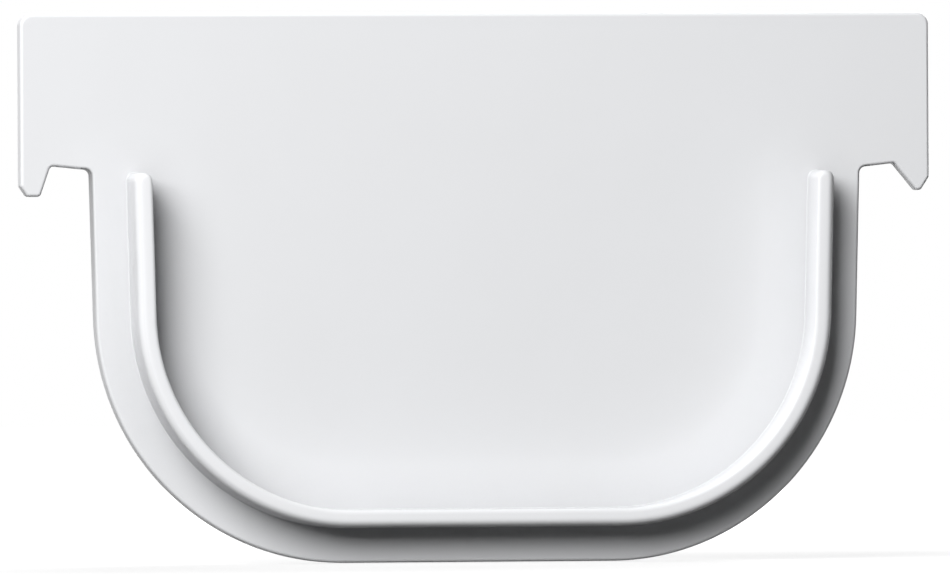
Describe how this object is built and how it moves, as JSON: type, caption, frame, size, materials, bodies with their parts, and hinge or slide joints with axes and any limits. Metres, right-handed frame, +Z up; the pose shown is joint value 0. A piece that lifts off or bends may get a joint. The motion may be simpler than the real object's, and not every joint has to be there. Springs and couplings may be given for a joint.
{
  "type": "gutter end cap",
  "caption": "Moulded white end cap for a round-cornered rain gutter: a flat eared plate with teeth below the ears and a U-shaped plug wall that fits inside the trough.",
  "frame": {"origin": "on the seat face that the gutter's end butts against, on the centre line, level with the roots of the ears", "axes": "+X across the gutter, +Z up, the gutter and the plug wall on the -Y side, the plain weather face on the +Y side"},
  "size_m": [0.1404, 0.01, 0.083],
  "materials": {
    "white_pvc": "satin moulded white PVC"
  },
  "bodies": {
    "root": {"end_cap": "white_pvc"}
  },
  "joints": []
}
